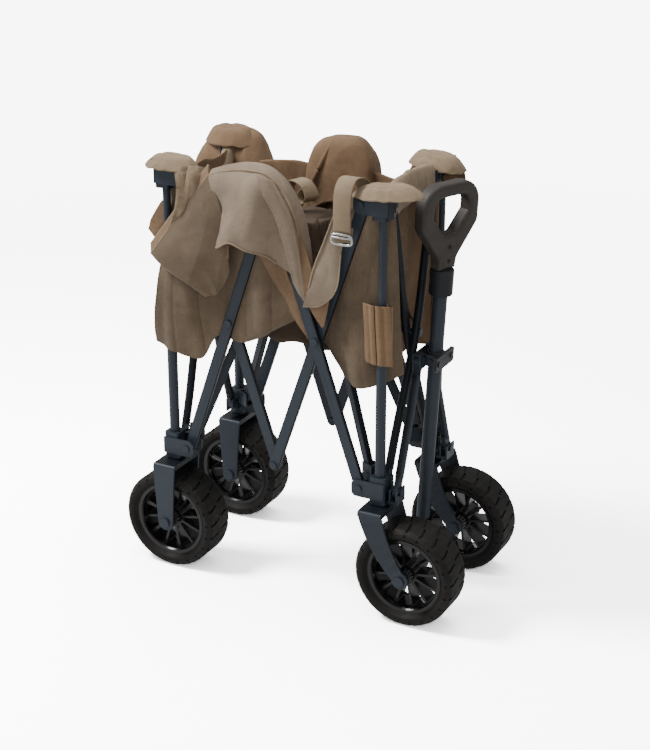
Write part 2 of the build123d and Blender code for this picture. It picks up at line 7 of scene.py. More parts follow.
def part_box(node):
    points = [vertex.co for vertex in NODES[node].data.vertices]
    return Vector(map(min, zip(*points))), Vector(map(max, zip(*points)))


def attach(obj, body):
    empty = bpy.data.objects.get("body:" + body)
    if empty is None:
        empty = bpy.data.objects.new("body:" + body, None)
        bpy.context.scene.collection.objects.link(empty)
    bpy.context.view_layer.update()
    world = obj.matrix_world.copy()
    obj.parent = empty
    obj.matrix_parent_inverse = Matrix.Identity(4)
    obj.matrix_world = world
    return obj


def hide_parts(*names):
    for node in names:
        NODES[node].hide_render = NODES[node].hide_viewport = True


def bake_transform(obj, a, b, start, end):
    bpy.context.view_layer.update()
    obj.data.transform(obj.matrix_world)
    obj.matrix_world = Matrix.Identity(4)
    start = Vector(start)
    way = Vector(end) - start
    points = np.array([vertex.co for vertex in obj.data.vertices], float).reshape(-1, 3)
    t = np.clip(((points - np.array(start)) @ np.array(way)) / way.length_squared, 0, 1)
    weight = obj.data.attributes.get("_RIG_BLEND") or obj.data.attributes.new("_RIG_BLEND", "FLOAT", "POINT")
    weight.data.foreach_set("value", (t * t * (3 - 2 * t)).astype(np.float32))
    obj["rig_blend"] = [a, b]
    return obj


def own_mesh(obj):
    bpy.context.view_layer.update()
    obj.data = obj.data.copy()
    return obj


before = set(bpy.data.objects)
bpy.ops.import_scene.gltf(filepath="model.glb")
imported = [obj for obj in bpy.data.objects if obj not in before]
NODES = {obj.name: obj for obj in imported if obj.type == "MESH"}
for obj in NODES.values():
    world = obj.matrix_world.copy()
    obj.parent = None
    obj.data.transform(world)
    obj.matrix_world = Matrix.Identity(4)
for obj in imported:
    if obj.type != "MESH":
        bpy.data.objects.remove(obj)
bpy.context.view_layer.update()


def middle(node):
    low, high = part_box(node)
    return (Vector(low) + Vector(high)) / 2


# The four posts, from the CAD
POST = {(e, s): middle(f"{e}_{s}_post_rod") for e in ("rear", "front") for s in ("right", "left")}
MID_X = sum(p.x for p in POST.values()) / 4
POST_X = POST["front", "left"].x - MID_X
POST_Y = POST["front", "left"].y

CLOTH = 0.0016  # thickness of the canvas, m
BAR_FACE = 0.1140  # outer face of the near scissor bars from the wagon's middle: cloth against it lies flat
HUB_REACH = 0.050  # half the width of the floor's flat top over the hub plate
FLOOR_Z = 0.45  # foot of the floor cloth
POST_LEAN, GRIP_TURN = math.radians(3), math.radians(21)

# The camera solved from the photograph's wheels, posts and pivots
CAMERA_PLACE = (1.2956, -2.438, 1.4896)
CAMERA_TILT, CAMERA_TURN = math.radians(67.84), math.radians(27.81)
LENS, SENSOR = 81.4, 36.0  # mm
WHITE = 8.1  # brightness of the studio behind the wagon, as the camera sees it


def at(x, y, z):
    """A point from the centre of the four posts, with z from the ground."""
    return Vector((MID_X + x, y, z))


# ---------------------------------------------------------------- materials
def new_material(name):
    material = bpy.data.materials.new(name)
    material.use_nodes = True
    tree = material.node_tree
    return material, tree, tree.nodes["Principled BSDF"]


def node(tree, kind, **values):
    """A shader node with its inputs or properties set by name."""
    made = tree.nodes.new(kind)
    for key, value in values.items():
        if key in made.inputs:
            made.inputs[key].default_value = value
        else:
            setattr(made, key, value)
    return made


def coordinates(tree, scale):
    """Object coordinates, times one scale or one for each axis."""
    place = node(tree, "ShaderNodeTexCoord")
    mapping = node(tree, "ShaderNodeMapping")
    mapping.inputs["Scale"].default_value = scale if hasattr(scale, "__len__") else (scale, scale, scale)
    tree.links.new(place.outputs["Object"], mapping.inputs["Vector"])
    return mapping.outputs["Vector"]


def noise_at(tree, scale, detail=4.0, rough=0.55):
    made = node(tree, "ShaderNodeTexNoise", Scale=1.0, Detail=detail, Roughness=rough)
    tree.links.new(coordinates(tree, scale), made.inputs["Vector"])
    return made.outputs["Fac"]


def ramp(tree, source, stops):
    """A colour for each value of source, blended between the stops."""
    made = node(tree, "ShaderNodeValToRGB")
    elements = made.color_ramp.elements
    while len(elements) < len(stops):
        elements.new(0.5)
    for element, (place, colour) in zip(elements, stops):
        element.position = place
        element.color = (*colour, 1) if len(colour) == 3 else colour
    tree.links.new(source, made.inputs["Fac"])
    return made.outputs["Color"]


def mix(tree, factor, first, second, blend="MIX"):
    made = node(tree, "ShaderNodeMix", data_type="RGBA", blend_type=blend)
    for socket, value in ((made.inputs[0], factor), (made.inputs[6], first), (made.inputs[7], second)):
        if isinstance(value, (int, float)):
            socket.default_value = value
        elif isinstance(value, tuple):
            socket.default_value = (*value, 1)
        else:
            tree.links.new(value, socket)
    return made.outputs[2]


def bump(tree, height, strength, distance, after=None):
    made = node(tree, "ShaderNodeBump", Strength=strength, Distance=distance)
    tree.links.new(height, made.inputs["Height"])
    if after is not None:
        tree.links.new(after, made.inputs["Normal"])
    return made.outputs["Normal"]


def lighter_sharp_edges(tree):
    """White on the sharp outer edges of a mesh, black elsewhere."""
    geometry = node(tree, "ShaderNodeNewGeometry")
    return ramp(tree, geometry.outputs["Pointiness"], [(0.52, (0, 0, 0)), (0.60, (1, 1, 1))])


def hard_surface(name, dark, light, rough, grain_scale, grain_depth, edge=None, coat=0.0, metal=0.0,
                 shine=0.22):
    """Painted or moulded surface: mottled colour, fine grain, smudged gloss and a lighter colour on sharp
    edges.
    """
    material, tree, shader = new_material(name)
    colour = ramp(tree, noise_at(tree, 14), [(0.35, dark), (0.7, light)])
    # A lighter colour on the mesh's sharp edges, found from pointiness
    if edge:
        colour = mix(tree, lighter_sharp_edges(tree), colour, edge)
    tree.links.new(colour, shader.inputs["Base Color"])
    low, high = rough
    gloss = ramp(tree, noise_at(tree, 40, 6), [(0.3, (low,) * 3), (0.75, (high,) * 3)])
    tree.links.new(gloss, shader.inputs["Roughness"])
    shader.inputs["Metallic"].default_value = metal
    shader.inputs["Specular IOR Level"].default_value = shine
    shader.inputs["Coat Weight"].default_value = coat
    shader.inputs["Coat Roughness"].default_value = 0.25
    normal = bump(tree, noise_at(tree, grain_scale, 3), 0.5, grain_depth)
    tree.links.new(normal, shader.inputs["Normal"])
    return material


def weave(tree, pitch):
    """Height of a plain weave: warp and weft threads of the given pitch crossing on all three axes."""
    total = None
    for axis in range(3):
        scale = [0.0, 0.0, 0.0]
        scale[axis] = 1.0 / pitch
        wave = node(tree, "ShaderNodeTexWave", Scale=1.0, Distortion=0.4, Detail=1.0)
        wave.bands_direction = "XYZ"[axis]
        tree.links.new(coordinates(tree, tuple(scale)), wave.inputs["Vector"])
        if total is None:
            total = wave.outputs["Fac"]
        else:
            add = node(tree, "ShaderNodeMath", operation="ADD")
            tree.links.new(total, add.inputs[0])
            tree.links.new(wave.outputs["Fac"], add.inputs[1])
            total = add.outputs[0]
    return total


def cloth_material(name, dark, light, pitch=0.0012):
    """Canvas: mottled dye, slubs, a woven grain of the given thread pitch, and painted shade darkening the
    folds.
    """
    material, tree, shader = new_material(name)
    colour = ramp(tree, noise_at(tree, 9, 5, 0.6), [(0.3, dark), (0.72, light)])
    slub = ramp(tree, noise_at(tree, (60, 60, 900), 2), [(0.3, (0.86, 0.86, 0.86)), (0.7, (1, 1, 1))])
    colour = mix(tree, 0.8, colour, slub, "MULTIPLY")
    threads = weave(tree, pitch)
    thread_tint = ramp(tree, threads, [(0.35, (0.80, 0.80, 0.80)), (1.0, (1, 1, 1))])
    colour = mix(tree, 0.35, colour, thread_tint, "MULTIPLY")
    geometry = node(tree, "ShaderNodeNewGeometry")
    # Painted shade: pointiness darkens the cloth in its folds and creases, where shade falls
    painted_fold_shade = ramp(tree, geometry.outputs["Pointiness"], [(0.455, (0.42, 0.38, 0.34)), (0.505, (1, 1, 1))])
    colour = mix(tree, 0.75, colour, painted_fold_shade, "MULTIPLY")
    tree.links.new(colour, shader.inputs["Base Color"])
    shader.inputs["Roughness"].default_value = 0.82
    shader.inputs["Specular IOR Level"].default_value = 0.25
    shader.inputs["Sheen Weight"].default_value = 0.06
    shader.inputs["Sheen Roughness"].default_value = 0.5
    first = bump(tree, noise_at(tree, (26, 26, 12), 4, 0.5), 0.35, 0.005)
    tree.links.new(bump(tree, threads, 0.35, 0.0004, first), shader.inputs["Normal"])
    return material


PAINT = hard_surface("powder_coat", (0.0046, 0.0066, 0.0100), (0.0082, 0.0112, 0.0160), (0.36, 0.50), 2200,
                     0.0002, (0.026, 0.034, 0.045))
JOINT = hard_surface("bracket_coat", (0.0042, 0.0062, 0.0098), (0.0076, 0.0106, 0.0155), (0.34, 0.46), 1800,
                     0.0002, (0.024, 0.032, 0.043))
RUBBER = hard_surface("tyre_rubber", (0.0046, 0.0040, 0.0036), (0.0100, 0.0086, 0.0074), (0.55, 0.72), 900,
                      0.0006, (0.020, 0.017, 0.015))
RIM = hard_surface("gloss_rim", (0.0012, 0.0012, 0.0014), (0.0026, 0.0026, 0.0028), (0.16, 0.26), 300, 0.0002,
                   (0.012, 0.012, 0.013), 0.2)
GRIP = hard_surface("grip_moulding", (0.0330, 0.0285, 0.0255), (0.0470, 0.0410, 0.0365), (0.45, 0.58), 3000,
                    0.0003, (0.050, 0.043, 0.037))
COLLAR = hard_surface("collar_moulding", (0.0110, 0.0130, 0.0155), (0.0170, 0.0195, 0.0230), (0.42, 0.54), 2600,
                      0.0003, (0.040, 0.043, 0.047))
STEEL = hard_surface("buckle_steel", (0.42, 0.42, 0.41), (0.60, 0.60, 0.58), (0.18, 0.34), 700, 0.0002, None,
                     0.0, 1.0, 0.5)
SCREW = hard_surface("black_screw", (0.006, 0.006, 0.007), (0.012, 0.012, 0.013), (0.3, 0.42), 900, 0.0002,
                     (0.04, 0.04, 0.042), 0.0, 0.6, 0.5)
CANVAS = cloth_material("canvas", (0.132, 0.078, 0.041), (0.222, 0.140, 0.079))
# Canvas of the near walls: less saturated, and darkened as painted shade
SHADED_SIDE_CANVAS = cloth_material("shaded_side_canvas", (0.094, 0.066, 0.041), (0.170, 0.124, 0.080))
DRAPE = cloth_material("drape_canvas", (0.185, 0.138, 0.097), (0.285, 0.222, 0.163))
LIGHT_CANVAS = cloth_material("hem_canvas", (0.205, 0.148, 0.092), (0.310, 0.235, 0.152), 0.0010)
# Painted shade: the canvas much darkened for the floor cloth inside the basket, where shade falls
SHADED_FLOOR_CANVAS = cloth_material("shaded_inner_canvas", (0.040, 0.025, 0.015), (0.075, 0.048, 0.029))
TAB = cloth_material("tab_canvas", (0.172, 0.104, 0.053), (0.245, 0.156, 0.086), 0.0010)
THREAD = cloth_material("thread", (0.30, 0.21, 0.12), (0.40, 0.30, 0.18), 0.0004)


def paint_cad():
    """A material for each CAD node by its name's ending, and the frame's paint for the rest."""
    rules = (("_tyre", RUBBER), ("_rim", RIM), ("_bracket", JOINT), ("floor_hub", JOINT),
             ("handle_guide", COLLAR),
             ("handle_collar", COLLAR), ("collar_button", COLLAR), ("grip", GRIP))
    for name, obj in NODES.items():
        chosen = next((m for ending, m in rules if name.endswith(ending)), PAINT)
        obj.data.materials.clear()
        obj.data.materials.append(chosen)


# ---------------------------------------------------------------- sheets of cloth
def curve_points(points, count):
    """Evenly spaced points on a smooth curve through the given ones."""
    points = [np.array(p, float) for p in points]
    if len(points) == 2:
        points = [points[0], (points[0] + points[1]) / 2, points[1]]
    padded = [2 * points[0] - points[1]] + points + [2 * points[-1] - points[-2]]
    spans = len(points) - 1
    result = []
    for step in range(count):
        place = min(step / (count - 1) * spans, spans - 1e-9)
        index = int(place)
        t = place - index
        a, b, c, d = padded[index:index + 4]
        result.append(0.5 * (2 * b + (c - a) * t + (2 * a - 5 * b + 4 * c - d) * t * t
                             + (3 * b - a - 3 * c + d) * t ** 3))
    return np.array(result)


def crease(point, seed, size):
    """Sharp folds of cloth: ridges of a smooth noise, from -1 to 1."""
    shifted = Vector(point) / size + Vector((seed * 7.3, seed * 3.1, seed * 5.7))
    return 1 - 2.2 * abs(noise.noise(shifted))


def mesh_piece(name, vertices, faces, material, thickness=0.0):
    mesh = bpy.data.meshes.new(name)
    mesh.from_pydata([tuple(v) for v in vertices], [], faces)
    obj = bpy.data.objects.new(name, mesh)
    bpy.context.scene.collection.objects.link(obj)
    mesh.materials.append(material)
    if thickness:
        solid = obj.modifiers.new("thickness", "SOLIDIFY")
        solid.thickness = thickness
        solid.offset = 0
        apply_modifiers(obj)
    for polygon in obj.data.polygons:
        polygon.use_smooth = True
    return obj


def apply_modifiers(obj):
    bpy.context.view_layer.update()
    evaluated = obj.evaluated_get(bpy.context.evaluated_depsgraph_get())
    finished = bpy.data.meshes.new_from_object(evaluated)
    obj.modifiers.clear()
    obj.data = finished


def loft(rails, across, down):
    """A grid of points through rails, each a short list of points, listed from the top of the cloth down."""
    lines = [curve_points(rail, across) for rail in rails]
    columns = [curve_points([line[i] for line in lines], down) for i in range(across)]
    return np.array(columns)


def sheet(name, rails, material=None, across=90, down=70, seed=1, creases=0.004, size=0.06, pleats=0.0,
          pleat_count=5, thickness=CLOTH, layer=None):
    """Cloth through rails, with pleats that deepen downwards and creases along its normal.

    With layer, the folds fade where the cloth is pressed against a plane at that distance from the middle.
    """
    grid = loft(rails, across, down)
    run = np.gradient(grid, axis=0)
    fall = np.gradient(grid, axis=1)
    normal = np.cross(run, fall)
    normal /= np.linalg.norm(normal, axis=2, keepdims=True) + 1e-9
    vertices = []
    for i in range(across):
        u = i / (across - 1)
        for j in range(down):
            v = j / (down - 1)
            free = math.sin(math.pi * u) ** 0.5
            point = grid[i, j]
            wave = math.sin(2 * math.pi * (pleat_count * u + 0.35 * math.sin(3 * v + seed)) + seed)
            phase = math.pi * (pleat_count * u + 0.18 * math.sin(3 * v + seed)) + seed / 2
            sharp = 1 - 2 * abs(math.sin(phase))
            depth = pleats * (0.45 * wave + 0.55 * sharp) * (0.25 + 0.75 * v) * free
            stretched = (point[0], point[1], point[2] * 0.45)
            depth += creases * crease(stretched, seed, size) * (0.35 + 0.65 * free)
            depth += creases * 0.14 * crease(point, seed + 4, size * 0.4)
            if layer:
                depth *= 0.25 + 0.75 * min(1.0, max(0.0, (abs(point[1]) - layer) / 0.008))
            vertices.append(point + normal[i, j] * depth)
    faces = []
    for i in range(across - 1):
        for j in range(down - 1):
            a = i * down + j
            faces.append((a, a + down, a + down + 1, a + 1))
    return mesh_piece(name, vertices, faces, material or CANVAS, thickness)


def ribbon(name, points, width, thickness, side, material, count=60):
    """A flat strap along points; side is the direction across its width, at each end."""
    path = curve_points(points, count)
    sides = side if isinstance(side, list) else [side, side]
    vertices, faces = [], []
    for i, point in enumerate(path):
        t = i / (count - 1)
        along = path[min(i + 1, count - 1)] - path[max(i - 1, 0)]
        along /= np.linalg.norm(along)
        cross = np.array(sides[0], float) * (1 - t) + np.array(sides[1], float) * t
        cross -= along * np.dot(cross, along)
        cross /= np.linalg.norm(cross)
        out = np.cross(along, cross)
        for a, b in ((-1, -0.5), (-0.92, -1), (0.92, -1), (1, -0.5), (1, 0.5), (0.92, 1), (-0.92, 1),
                     (-1, 0.5)):
            vertices.append(point + cross * a * width / 2 + out * b * thickness / 2)
    for i in range(count - 1):
        for k in range(8):
            faces.append((i * 8 + k, i * 8 + (k + 1) % 8, (i + 1) * 8 + (k + 1) % 8, (i + 1) * 8 + k))
    faces.append(tuple(range(7, -1, -1)))
    faces.append(tuple(range((count - 1) * 8, count * 8)))
    return mesh_piece(name, vertices, faces, material)


def hem(name, points, material=None, radius=0.0012, flat=1.6, count=70):
    """Rolled binding along an edge, with small stitches as dents."""
    path = curve_points(points, count)
    vertices, faces, sides = [], [], 10
    for i, point in enumerate(path):
        along = path[min(i + 1, count - 1)] - path[max(i - 1, 0)]
        along /= np.linalg.norm(along) + 1e-12
        up = np.array((0, 0, 1.0)) if abs(along[2]) < 0.9 else np.array((1.0, 0, 0))
        cross = np.cross(along, up)
        cross /= np.linalg.norm(cross)
        out = np.cross(cross, along)
        pinch = 1 - 0.12 * (i % 2)
        for k in range(sides):
            angle = 2 * math.pi * k / sides
            vertices.append(point + radius * pinch * (cross * math.cos(angle) + out * flat * math.sin(angle)))
    for i in range(count - 1):
        for k in range(sides):
            faces.append((i * sides + k, (i + 1) * sides + k, (i + 1) * sides + (k + 1) % sides,
                          i * sides + (k + 1) % sides))
    faces.append(tuple(range(sides)))
    faces.append(tuple(range(count * sides - 1, (count - 1) * sides - 1, -1)))
    return mesh_piece(name, vertices, faces, material or LIGHT_CANVAS)


def stitches(name, points, pitch=0.0040, length=0.0026, radius=0.00045):
    """A row of raised thread stitches along a line."""
    dense = curve_points(points, 400)
    steps = np.linalg.norm(np.diff(dense, axis=0), axis=1)
    run = np.concatenate([[0], np.cumsum(steps)])
    vertices, faces = [], []
    for number in range(int(run[-1] / pitch)):
        ends_at = [number * pitch, number * pitch + length / 2, number * pitch + length]
        spots = [np.array([np.interp(place, run, dense[:, k]) for k in range(3)]) for place in ends_at]
        along = (spots[2] - spots[0]) / (np.linalg.norm(spots[2] - spots[0]) + 1e-12)
        cross = np.cross(along, (0, 1.0, 0))
        cross /= np.linalg.norm(cross) + 1e-12
        out = np.cross(cross, along)
        first = len(vertices)
        for spot, size in zip(spots, (0.35, 1.0, 0.35)):
            for k in range(6):
                angle = math.pi * k / 3
                vertices.append(spot + radius * size * (cross * math.cos(angle) + out * math.sin(angle)))
        for ring in range(2):
            for k in range(6):
                a, b = first + ring * 6, first + ring * 6 + 6
                faces.append((a + k, a + (k + 1) % 6, b + (k + 1) % 6, b + k))
    return mesh_piece(name, vertices, faces, THREAD)


def screw_head(name, place, out, radius=0.0032):
    """A low pan head with a socket, facing out."""
    out = Vector(out).normalized()
    across = out.cross(Vector((0, 0, 1))).normalized()
    up = across.cross(out)
    profile = ((1.0, -0.3), (1.0, 0.1), (0.85, 0.42), (0.5, 0.5), (0.45, 0.1), (0.0, 0.1))
    vertices, faces, sides = [], [], 24
    for reach, height in profile:
        for k in range(sides):
            angle = 2 * math.pi * k / sides
            spoke = across * math.cos(angle) + up * math.sin(angle)
            vertices.append(place + radius * (reach * spoke + out * height))
    for ring in range(len(profile) - 1):
        for k in range(sides):
            a, b = ring * sides, (ring + 1) * sides
            faces.append((a + k, a + (k + 1) % sides, b + (k + 1) % sides, b + k))
    return mesh_piece(name, vertices, faces, SCREW)


def grip_screws():
    """Two screws on each face of the grip's neck."""
    up = Vector((math.sin(POST_LEAN), 0, math.cos(POST_LEAN)))
    forward = Vector((math.cos(POST_LEAN), 0, -math.sin(POST_LEAN)))
    face = forward * math.cos(GRIP_TURN) - Vector((0, 1, 0)) * math.sin(GRIP_TURN)
    collar = middle("handle_collar")
    neck = collar + up * (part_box("grip")[0][2] - collar.z)
    heads = [screw_head("n", neck + up * height + out * 0.0137, out)
             for out in (face, -face) for height in (0.016, 0.040)]
    riding(joined("grip_screws", heads), "inner_tube")


def hood(name, ridge, inside, outside, in_drop, out_drop, **options):
    """Cloth thrown over a rail: an inner flap, a rounded ridge and an outer flap, drawn in as they fall."""
    way = math.copysign(1, ridge[0][1])
    centre_x = ridge[len(ridge) // 2][0]
    rails = []
    for reach, drop in ((-inside, in_drop), (-inside * 0.9, in_drop * 0.5), (-inside * 0.55, 0.012), (0, 0),
                        (outside * 0.55, 0.010), (outside * 0.9, out_drop * 0.5), (outside, out_drop)):
        rails.append([(x + (centre_x - x) * drop, y + way * reach, z - drop) for x, y, z in ridge])
    return sheet(name, rails, **options)


def cap(name, x, y, half_x, half_y, top, droop=0.026, material=None, seed=3, tilt=0.0):
    """A padded cover over a corner bracket: domed, drooping at its rim, with gathers."""
    count = 56
    vertices, faces = [], []
    for i in range(count):
        for j in range(count):
            a, b = -1 + 2 * i / (count - 1), -1 + 2 * j / (count - 1)
            px = a * math.sqrt(1 - b * b / 2) * half_x * 1.08
            py = b * math.sqrt(1 - a * a / 2) * half_y * 1.08
            reach = min(1.0, math.hypot(px / half_x / 1.08, py / half_y / 1.08))
            fall = droop * max(0.0, reach - 0.45) ** 2.2 * 3.4
            point = at(x + px, y + py, top + tilt * px / half_x - fall)
            angle = math.atan2(py, px)
            point.z += 0.0006 * math.sin(9 * angle + seed) * reach ** 2 + 0.0012 * crease(point, seed, 0.03)
            point.z += 0.0011 * math.sin(420 * py + 25 * px + seed) * min(1.0, 1.6 - reach)
            shrink = 1 + 0.012 * math.sin(7 * angle + seed) * reach
            point.x = at(x, 0, 0).x + (point.x - at(x, 0, 0).x) * shrink
            vertices.append(point)
    for i in range(count - 1):
        for j in range(count - 1):
            a = i * count + j
            faces.append((a, a + count, a + count + 1, a + 1))
    return mesh_piece(name, vertices, faces, material or LIGHT_CANVAS, 0.0026)


def wagon(points):
    """Points from the centre of the posts, as the sheets take them."""
    return [tuple(at(*p)) for p in points]


def rails_of(*rows):
    return [wagon(row) for row in rows]


def between(first, second, shift):
    """The line midway between two others, moved along y."""
    return [((a[0] + b[0]) / 2, (a[1] + b[1]) / 2 + shift, (a[2] + b[2]) / 2) for a, b in zip(first, second)]


def joined(name, parts):
    """One piece out of several meshes."""
    if len(parts) > 1:
        bpy.ops.object.select_all(action="DESELECT")
        for part in parts:
            part.select_set(True)
        bpy.context.view_layer.objects.active = parts[0]
        bpy.ops.object.join()
    parts[0].name = name
    return parts[0]


def along_wall(piece, end, side):
    """Fabric between a corner and the middle of a long side."""
    sign_x = 1 if end == "front" else -1
    sign_y = 1 if side == "left" else -1
    start = at(sign_x * POST_X, sign_y * POST_Y, 0.6)
    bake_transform(piece, f"{end}_{side}_top", f"{side}_{end}_wall", start=tuple(start),
             end=tuple(at(0, sign_y * POST_Y, 0.6)))
    straighten(piece, start.x, MID_X)


def straighten(piece, start, stop, axis=0):
    """Even stretch between the two bodies, instead of an eased one."""
    layer = piece.data.attributes["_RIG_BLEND"]
    for item, vertex in zip(layer.data, piece.data.vertices):
        place = (vertex.co[axis] - start) / (stop - start)
        item.value = min(1.0, max(0.0, place))


def across_end(piece, end):
    """Fabric between the two corners of an end."""
    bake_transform(piece, f"{end}_right_top", f"{end}_end_wall", start=tuple(at(0, -POST_Y, 0.6)),
             end=tuple(at(0, POST_Y, 0.6)))
    straighten(piece, -POST_Y, POST_Y, 1)


def riding(piece, body):
    """A piece that keeps its shape and moves with one body."""
    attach(piece, body)


# ---------------------------------------------------------------- near side, rear half
def near_rear():
    """The rear lobe of the near wall, the corner flap folded out over it, the rear wing and the rear cap."""
    lobe = sheet("right_wall_cloth_rear", rails_of(
        [(-0.205, -0.094, 0.712), (-0.165, -0.111, 0.716), (-0.125, -0.1135, 0.716), (-0.08, -0.1135, 0.716),
         (-0.045, -0.1135, 0.716), (-0.01, -0.1135, 0.716), (0.03, -0.1135, 0.70), (0.048, -0.1135, 0.68)],
        [(-0.214, -0.108, 0.620), (-0.175, -0.122, 0.620), (-0.130, -0.120, 0.620), (-0.085, -0.1135, 0.620),
         (-0.055, -0.1135, 0.620), (-0.015, -0.116, 0.620), (0.025, -0.116, 0.612), (0.052, -0.1135, 0.605)],
        [(-0.222, -0.128, 0.530), (-0.180, -0.136, 0.525), (-0.140, -0.130, 0.520), (-0.098, -0.1135, 0.520),
         (-0.068, -0.1130, 0.520), (-0.022, -0.122, 0.522), (0.022, -0.120, 0.530), (0.050, -0.1135, 0.560)],
        [(-0.228, -0.130, 0.465), (-0.184, -0.137, 0.455), (-0.140, -0.126, 0.450), (-0.104, -0.1135, 0.462),
         (-0.072, -0.1130, 0.470), (-0.028, -0.121, 0.475), (0.014, -0.118, 0.500), (0.045, -0.1135, 0.532)],
        [(-0.231, -0.122, 0.424), (-0.186, -0.131, 0.413), (-0.138, -0.120, 0.408), (-0.110, -0.112, 0.452),
         (-0.067, -0.111, 0.447), (-0.030, -0.116, 0.462), (0.008, -0.114, 0.486), (0.040, -0.112, 0.505)]),
        SHADED_SIDE_CANVAS, across=190, down=110, seed=2, creases=0.0056, size=0.075, pleats=0.0080, pleat_count=6,
                 layer=BAR_FACE)
    along_wall(lobe, "rear", "right")
    flap_rows = (
        [(-0.108, -0.131, 0.742), (-0.140, -0.132, 0.702), (-0.172, -0.134, 0.660), (-0.200, -0.137, 0.622),
         (-0.222, -0.140, 0.592)],
        [(-0.094, -0.136, 0.722), (-0.122, -0.139, 0.686), (-0.152, -0.142, 0.644), (-0.180, -0.145, 0.610),
         (-0.203, -0.147, 0.582)],
        [(-0.079, -0.137, 0.680), (-0.103, -0.141, 0.648), (-0.129, -0.144, 0.614), (-0.155, -0.147, 0.588),
         (-0.178, -0.149, 0.568)],
        [(-0.075, -0.133, 0.628), (-0.090, -0.136, 0.600), (-0.110, -0.139, 0.578), (-0.129, -0.143, 0.562),
         (-0.148, -0.147, 0.553)],
        [(-0.073, -0.1290, 0.578), (-0.082, -0.1300, 0.558), (-0.094, -0.132, 0.540), (-0.102, -0.136, 0.534),
         (-0.112, -0.141, 0.532)])
    flap = sheet("right_flap", rails_of(*flap_rows), SHADED_SIDE_CANVAS, across=110, down=110, seed=5, creases=0.0036,
                 size=0.09,
                 pleats=0.0018, pleat_count=2)
    edges = [hem("h1", wagon(flap_rows[0]), radius=0.0013),
             hem("h2", wagon([row[-1] for row in flap_rows]), radius=0.0011),
             hem("h3", wagon([(x - 0.006, y + 0.010, z + 0.013) for x, y, z in flap_rows[0]]), radius=0.0015)]
    lining = sheet("lining", rails_of([(x - 0.006, y + 0.010, z + 0.013) for x, y, z in flap_rows[0]],
                                      flap_rows[0]),
                   across=60, down=8, creases=0.0008)
    piece = joined("right_flap", [flap, lining] + edges)
    along_wall(piece, "rear", "right")
    wing = sheet("corner_wing", rails_of(
        [(-0.205, -0.094, 0.690), (-0.225, -0.098, 0.672), (-0.240, -0.100, 0.648), (-0.250, -0.104, 0.622)],
        [(-0.203, -0.092, 0.655), (-0.217, -0.098, 0.645), (-0.228, -0.103, 0.632), (-0.238, -0.106, 0.612)],
        [(-0.206, -0.094, 0.600), (-0.210, -0.098, 0.598), (-0.214, -0.102, 0.596), (-0.218, -0.106, 0.592)]),
        across=50, down=40, seed=8, creases=0.003, size=0.03)
    riding(wing, "rear_right_top")
    cover = cap("c", -0.191, -0.112, 0.045, 0.031, 0.7585, droop=0.020, seed=2)
    skirt = sheet("s", rails_of(
        [(-0.172, -0.138, 0.748), (-0.150, -0.134, 0.752), (-0.132, -0.118, 0.750), (-0.126, -0.098, 0.744)],
        [(-0.166, -0.143, 0.728), (-0.144, -0.138, 0.726), (-0.124, -0.120, 0.724), (-0.118, -0.098, 0.720)],
        [(-0.168, -0.141, 0.690), (-0.150, -0.136, 0.684), (-0.132, -0.120, 0.684), (-0.124, -0.098, 0.690)],
        [(-0.182, -0.138, 0.650), (-0.168, -0.132, 0.655), (-0.150, -0.118, 0.660), (-0.140, -0.098, 0.665)]),
        LIGHT_CANVAS, across=60, down=60, seed=4, creases=0.004, size=0.025, pleats=0.002, pleat_count=4)
    riding(joined("corner_cap_rear_right", [cover, skirt]), "rear_right_top")


